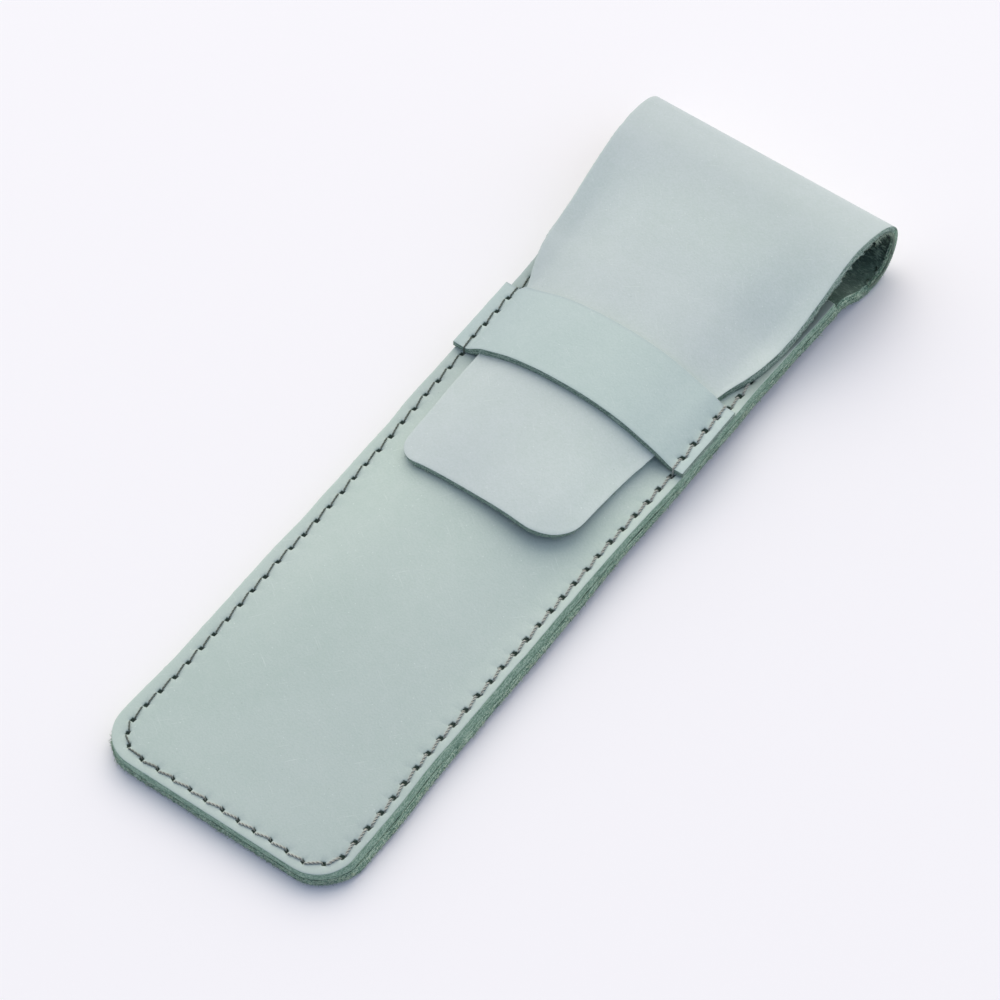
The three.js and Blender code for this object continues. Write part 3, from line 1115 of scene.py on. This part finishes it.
def addFibre(sheet, outline, i, place, look, pick, long, wide):
    # a thin bent three-sided spike
    p, inward = outline[i].at, outline[i].inward
    depth = look.thick(p) * pick.uniform(*look.fibreDepth)
    base = place(p.x, p.y, depth)
    onward = outline[(i + 1) % len(outline)].at
    outward = (base - place(p.x + inward.x * 0.4, p.y + inward.y * 0.4, depth)).normalized()
    along = (place(onward.x, onward.y, depth) - base).normalized()
    flesh = (place(p.x, p.y, depth + 0.2) - base).normalized()
    heading = (outward * pick.uniform(*spike.outward)
            + along * pick.choice((-1, 1)) * pick.uniform(*spike.along)
            + flesh * pick.uniform(*look.fibreFall)).normalized()
    bend = (along * pick.uniform(-1, 1) + flesh * pick.uniform(-1, 1)) * spike.bend
    length = pick.uniform(*long)
    a = heading.orthogonal().normalized()
    b = heading.cross(a)
    thick = pick.uniform(*wide)
    tone = (pick.uniform(0, spike.tones), pick.uniform(0, spike.tones), 7.0)
    first = len(sheet.places)
    for share, size in spike.rings:
        centre = base + (heading * share + bend * max(share, 0) ** 2) * length
        for turn in range(3):
            angle = turn * 2 * math.pi / 3
            addPoint(sheet, centre + (a * math.cos(angle) + b * math.sin(angle)) * thick * size, tone)
    tip = addPoint(sheet, base + (heading + bend) * length, tone)
    for t in range(3):
        u = (t + 1) % 3
        for low in (first, first + 3):
            addFace(sheet, (low + t, low + u, low + 3 + u, low + 3 + t), 3)
        addFace(sheet, (first + 6 + t, first + 6 + u, tip), 3)
    addFace(sheet, (first + 2, first + 1, first), 3)


def meshPiece(name, sheet, materials):
    mesh = bpy.data.meshes.new(name)
    mesh.from_pydata([p * mm for p in sheet.places], [], sheet.faces)
    for material in materials:
        mesh.materials.append(material)
    mesh.polygons.foreach_set("material_index", sheet.kinds)
    mesh.polygons.foreach_set("use_smooth", sheet.smooth)
    for key in ("rim", "pricked", "faded"):
        mesh.attributes.new(key, "FLOAT", "POINT").data.foreach_set("value", sheet[key])
    flatLay = [c for p in sheet.lay for c in p]
    mesh.attributes.new("lay", "FLOAT_VECTOR", "POINT").data.foreach_set("vector", flatLay)
    mesh.update()
    return addObject(name, mesh)


# Front panel: crowned, sewn on three sides

plain = Named(
    bevel=lambda p: 0.0, tatter=lambda p: 0.0, faded=lambda p: 0.0, worn=lambda p: 0.0,
    stained=lambda p: 0.0, edgePale=lambda p, share: 0.0, soften=lambda p: 1.0,
    rough=lambda p: 1.0, fibreShare=lambda p: 1.0, fibreWide=(0.03, 0.055),
    fibreFall=(-0.5, 0.5), tufts=(),
)


# painted light on the front: all over, across, along, both and along squared, and painted shade on the
# left under the flap
frontShadingTerms = Named(shares=(0.115, 0.05, 0.24, 0.12, 0.09), shade=((0.14, (0, 25)), (0.15, (46, 6))),
        top=8, long=85)
half = 28  # scale across, for all three cuts


def frontShading(p):
    # painted light towards the upper right, painted shade on the left in the shelter of the flap
    x, y = p.x / half, min(p.y, frontShadingTerms.top) / frontShadingTerms.long
    worn = sum(share * term for share, term in zip(frontShadingTerms.shares, (1, x, y, x * y, y * y)))
    return worn if p.x > 0 else worn - humps(frontShadingTerms.shade, p.y)


def frontPlace(x, y, depth):
    return Vector((x, y, frontTop(x, y) - depth))


front = Named(
    plain, cut="front", edge="sewn", mirrored=False, seed=11, layer="front",
    stepX=1.5, stepY=1.5, stepEdge=0.4, arris=0.18, innerArris=0.03, fray=0.05, groove=0.1, nap=0.02,
    rimTone=0.15, rimWide=2.6, thick=lambda p: frontLow.z - 0.02, faded=frontShading,
    # painted shade: the front's right strip from the strap upwards is darkened, where it lies in shade
    # under the flap's edge
    stained=lambda p: 0.38 * ease(p.y, 50, 10) if p.x > 0 else 0.0,
    bevel=lambda p: back.frontShare * edgeLean(sideOf(p.x), p.y),
    fibres=140, fibreDepth=(0.5, 1.0), fibreLong=(0.15, 0.45),
)


def makeSheet(name, border, low, high, place, look, openLow=False, openHigh=False):
    outline = outlineOf(border, low, high, look.stepEdge, openLow, openHigh)
    return cutHide(name, outline, fill(border, low, high, outline, look), place, look)


frontHide = makeSheet("front_hide", frontBorder, bottom, mouth, frontPlace, front)
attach(frontHide, "pocket")
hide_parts("front_panel")
print("front panel cut")

# Back, fold and flap: one hide, split into three lengths where no bend reaches

hide = Named(
    plain, cut="long", edge="frayed", mirrored=True, stepEdge=0.35,
    arris=0.12, innerArris=0.1, fray=0.1, nap=0.12, rimTone=0.1, rimWide=0.7,
    thick=lambda p: leather,
    firstSplit=96.0,  # Y on the belly
    secondSplit=7.1,  # Z above the apex
)


def nearFold(p):
    # 1 on the flap's root, 0 on its tongue
    return ease(flapY(p.y), *flap.root)


# painted light and shade along the flap, as (Y, share), in the middle, from left to right and at both
# sides; the negative values at the fold are painted shade on the lit crest
flapShadingKnots = Named(
    middle=((6, -0.01), (26, 0.05), (56, -0.01), (66, 0.01), (80, 0.1), (95, -0.05), (102, -0.14)),
    across=((6, 0.16), (26, 0.2), (60, 0.13), (80, 0.055), (96, 0.02)),
    sides=((6, 0.12), (26, 0.12), (58, 0.0), (77, 0.12), (95, 0.0)),
)


def flapShading(p):
    x, y = p.x / half, flapY(p.y)
    return (through(flapShadingKnots.middle, y) + x * through(flapShadingKnots.across, y)
            + x * x * through(flapShadingKnots.sides, y))


# how far the flesh side is cut back, or stands out, on the belly, beyond the crest and on the tongue
slant = Named(
    belly={1: -0.9, -1: -0.1}, crest={1: 0.4, -1: 0.1}, tongue=-0.1,
    bellyIn=(-2, 5),  # from the mouth
    crestIn=(-9, 30),  # from the apex
    flapIn=(48, 16),
)


def backBevel(p):
    side = sideOf(p.x)
    sewn = (back.frontShare - back.backShare) * edgeLean(side, p.y)
    return mix(sewn, slant.belly[side], ease(p.y - mouth, *slant.bellyIn))


def atBottom(p):
    return ease(p.y, bottom + 10, -7)


def hideBevel(p):
    # the knife leaned over on the belly and back beyond the crest
    side = sideOf(p.x)
    leaned = mix(slant.belly[side], slant.crest[side],
            ease(p.y - foldStart - foldTurn, *slant.crestIn))
    return mix(slant.tongue, leaned, ease(flapY(p.y), *slant.flapIn))


hidePlans = (
    Named(name="back_hide", stepX=2.2, stepY=2.2, seed=23, layer="back", groove=0.42,
        nap=0.03, arris=0.06, bevel=backBevel,
        # painted light on the flesh from just below the mouth into the loop
        worn=lambda p: 0.5 * ease(p.y - mouth, -4, 6),
        # painted shade: the lowest part of the back's cut edge, next to the table, is darkened
        edgePale=lambda p, share: -0.35 * ease(share, 0.3, -0.2),
        soften=lambda p: mix(1.0, 0.1, ease(p.x, 10, 8) * (1 - atBottom(p))),
        rough=lambda p: mix(1.6, 3.6, atBottom(p)),
        fibres=3000, fibreShare=lambda p: mix(0.4, 1.0, atBottom(p)), fibreDepth=(0.15, 1.0),
        fibreLong=(0.3, 1.0), fibreWide=(0.05, 0.1)),
    Named(name="fold_hide", faded=flapShading, stepX=0.7, stepY=0.45, seed=24, nap=0.36,
        bevel=hideBevel, tatter=lambda p: 0.9,
        # painted light on the flesh of the belly, fading as the loop rises
        worn=lambda p: 0.5 * ease(p.y, foldStart + 26, -14),
        fibres=1500, fibreDepth=(0.75, 1.1), fibreLong=(0.3, 1.1), fibreWide=(0.05, 0.09),
        fibreFall=(0.1, 1.0)),
    Named(name="flap_hide", faded=flapShading, stepX=1.3, stepY=1.3, seed=25, edge="clean",
        nap=0.05, fray=0.07, bevel=hideBevel,
        # near the fold the cut is paler towards the grain and darker towards the flesh: painted light and
        # shade down the cut
        edgePale=lambda p, share: mix(0.0, 0.3 - 0.4 * share, nearFold(p)),
        tatter=lambda p: 0.9 * nearFold(p),
        fibres=1500, fibreShare=lambda p: mix(0.1, 1.0, nearFold(p)),
        fibreDepth=(0.75, 1.1), fibreLong=(0.2, 0.8), fibreWide=(0.045, 0.08),
        fibreFall=(0.0, 1.0), tufts=((foldHalf, foldStart + foldLength - 7.0),)),
)


def makeHide():
    lowRun = next(foldRun[i] for i, p in enumerate(foldPoints) if p.x >= hide.firstSplit)
    highRun = next(foldRun[i] for i, p in enumerate(foldPoints)
            if i > apexIndex and p.y >= hide.secondSplit)
    ends = [backBottom, foldStart + lowRun, foldStart + highRun,
            foldStart + foldLength + foldEnd - flap.tip]
    return [makeSheet(plan.name, hideBorder, *ends[i:i + 2], hidePlace, Named(hide, **plan), i > 0, i < 2)
            for i, plan in enumerate(hidePlans)]


def bendAlong(piece, before, after, start, end):
    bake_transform(piece)


# two places for each length, as (Y, Z), given to bendAlong
bends = Named(
    back=((mouth - 1, 0), (mouth + 7, 0)), fold=((apex.x, -1.5), (apex.x, 6.2)),
    flap=((mouth + 19, loopTop), (mouth + 2, loopTop)),
)
backHide, foldHide, flapHide = makeHide()
bendAlong(backHide, "pocket", "fold_lower", *bends.back)
bendAlong(foldHide, "fold_lower", "fold_upper", *bends.fold)
bendAlong(flapHide, "fold_upper", "flap", *bends.flap)
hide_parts("back_panel")
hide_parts("fold_lower", "fold_upper")
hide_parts("flap_panel", "flap_tongue")
print("back, fold and flap cut")

# Strap: flat on the sewn rim, arched over the tongue

strapShadingTerms = Named(ends=0.35, archIn=(0, 0.3), all=0.015, across=0.16, bow=-0.03,
        burnish=((-0.2, (strap.high - 0.4, 0.3)),))


def strapShading(p):
    # painted light on the right, painted shade along its upper edge
    pale = strapShadingTerms
    x = p.x / half * mix(pale.ends, 1.0, ease(strapArch(p.x, p.y), *pale.archIn))
    return pale.all + pale.across * x + pale.bow * x * x + humps(pale.burnish, p.y)


strapCut = Named(
    plain, cut="strap", edge="clean", mirrored=False, seed=41, layer="strap",
    stepX=0.7, stepY=1.2, stepEdge=0.4, arris=0.12, innerArris=0.15, fray=0.05, groove=0.08, nap=0.02,
    rimTone=0.05, rimWide=0.8,
    thick=lambda p: mix(strap.endThick, leather, smooth(strapArch(p.x, p.y))), faded=strapShading,
    fibres=60, fibreDepth=(0.6, 1.0), fibreLong=(0.12, 0.4),
)
strapHide = makeSheet("strap_hide", strapBorder, strap.low, strap.high, layOn(strapTop), strapCut)
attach(strapHide, "pocket")
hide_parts("retaining_strap")
print("strap cut")

# Threads: each stitch is two plies twisted together, from one slot to the far end of the next

thread = Named(
    radius=0.29,
    leftSize=0.68,  # pulled tight on the left
    leftIn=(-24, 8), plyShare=0.55,
    turn=1.6,  # length of one twist
    plies=2, sides=8, step=0.13,
    leave=0.25,  # from the slot's middle
    enter=0.6,
    enterStep=0.1,  # where it steps on to the strap or off it
    lift=0.12, dive=0.75, diveRun=0.6, backFloor=0.42,
    phase=0.9,  # between stitches
    # painted shade on the side of each ply that faces the other, where the hollow between them is in shade
    hollow=0.9, hollowTone=0.6,
    soilIn=(2, -34),  # painted shade: the thread on the left side is darker, where it sits in shade in the groove
    layShift=3.7, plyShift=5.0,
)


def twist(points, sheet, phase):
    last = len(points) - 1
    headings = [(points[min(i + 1, last)] - points[max(i - 1, 0)]).normalized() for i in range(last + 1)]
    side = headings[0].orthogonal()
    frames = []
    for heading in headings:
        side = (side - heading * side.dot(heading)).normalized()
        frames.append((side.copy(), heading.cross(side)))
    sides = thread.sides
    for ply in range(thread.plies):
        first = len(sheet.places)
        run = 0.0
        for i, (p, (a, b)) in enumerate(zip(points, frames)):
            run += (p - points[max(i - 1, 0)]).length
            angle = phase + 2 * math.pi * (ply / thread.plies + run / thread.turn)
            radius = thread.radius * mix(thread.leftSize, 1.0, ease(p.x, *thread.leftIn))
            plyRadius = thread.plyShare * radius
            centre = p + (a * math.cos(angle) + b * math.sin(angle)) * (radius - plyRadius)
            for k in range(sides):
                around = 2 * math.pi * k / sides
                # painted shade: the hollow side of each ply, and the whole thread on the left
                hollow = smooth(0.5 - thread.hollow * math.cos(around - angle))
                threadShade = max(thread.hollowTone * hollow, ease(p.x, *thread.soilIn))
                addPoint(sheet, centre + (a * math.cos(around) + b * math.sin(around)) * plyRadius,
                        (k / sides, run + thread.layShift * phase, ply * thread.plyShift), faded=threadShade)
        for i in range(last):
            for k in range(sides):
                low, high = first + i * sides, first + (i + 1) * sides
                n = (k + 1) % sides
                addFace(sheet, (low + k, low + n, high + n, high + k), 0)
        addFace(sheet, [first + k for k in reversed(range(sides))], 0)
        addFace(sheet, [first + last * sides + k for k in range(sides)], 0)


def stitch(a, b, top, up):
    # draped over what lies between two slots; up is 1 on the front and -1 on the back
    out = a.at + a.along * thread.leave
    crosses = a.layer != b.layer
    into = b.at - b.along * thread["enterStep" if crosses else "enter"]
    count = round((into - out).length / thread.step)
    line = [out.lerp(into, i / count) for i in range(count + 1)]
    heights = [up * top(p) for p in line]
    highest = [max(heights[max(i - 1, 0):i + 2]) for i in range(count + 1)]
    points = []
    for i, p in enumerate(line):
        near = highest[max(i - 1, 0):i + 2]
        over = sum(near) / len(near) + thread.lift
        free = smooth(min(i, count - i) * thread.step / thread.diveRun)
        points.append(Vector((p.x, p.y, up * mix(heights[i] - thread.dive, over, free))))
    return points


def needleTop(p):
    return strapTop(p.x, p.y) if strap.low < p.y < strap.high else frontTop(p.x, p.y)


def bobbinTop(p):
    return thread.backFloor


def makeThreads():
    for name, node, top, up in (("needle_stitches", "needle_thread", needleTop, 1),
            ("bobbin_stitches", "bobbin_thread", bobbinTop, -1)):
        sheet = newSheet()
        for i, (a, b) in enumerate(zip(slots, slots[1:])):
            twist(stitch(a, b, top, up), sheet, thread.phase * i)
        piece = meshPiece(name, sheet, [linen])
        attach(piece, "pocket")
        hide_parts(node)


makeThreads()
print("threads sewn")
